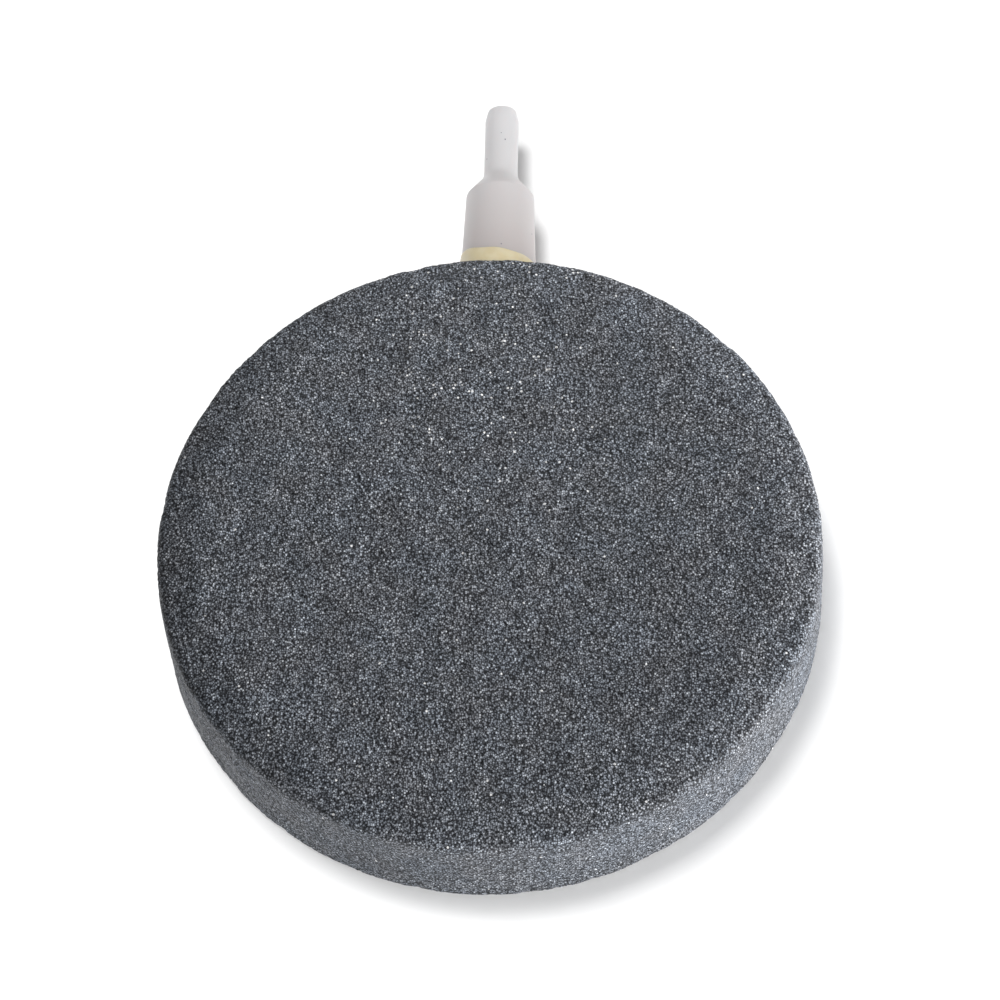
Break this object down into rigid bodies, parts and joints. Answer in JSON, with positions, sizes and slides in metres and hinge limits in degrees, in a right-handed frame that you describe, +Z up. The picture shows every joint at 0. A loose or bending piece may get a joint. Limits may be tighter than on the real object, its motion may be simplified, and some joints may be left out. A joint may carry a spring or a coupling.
{
  "type": "fine bubble disc diffuser",
  "caption": "Round air stone disc of bonded grit with a bevelled face, a closed air chamber and a tapered plastic hose connector glued into its rim.",
  "frame": {"origin": "centre of the flat underside that the stone stands on", "axes": "+Z up through the porous face along the disc's axis, +Y along the hose connector towards the hose"},
  "size_m": [0.1, 0.1313, 0.0173],
  "materials": {
    "stone": "rough bonded grit, grey with pale glinting grains",
    "connector_plastic": "satin, slightly translucent white",
    "epoxy": "cream, smooth"
  },
  "bodies": {
    "root": {"stone_body": "stone", "base_plate": "stone", "plate_glue": "epoxy", "hose_connector": "connector_plastic", "connector_glue": "epoxy"}
  },
  "joints": []
}
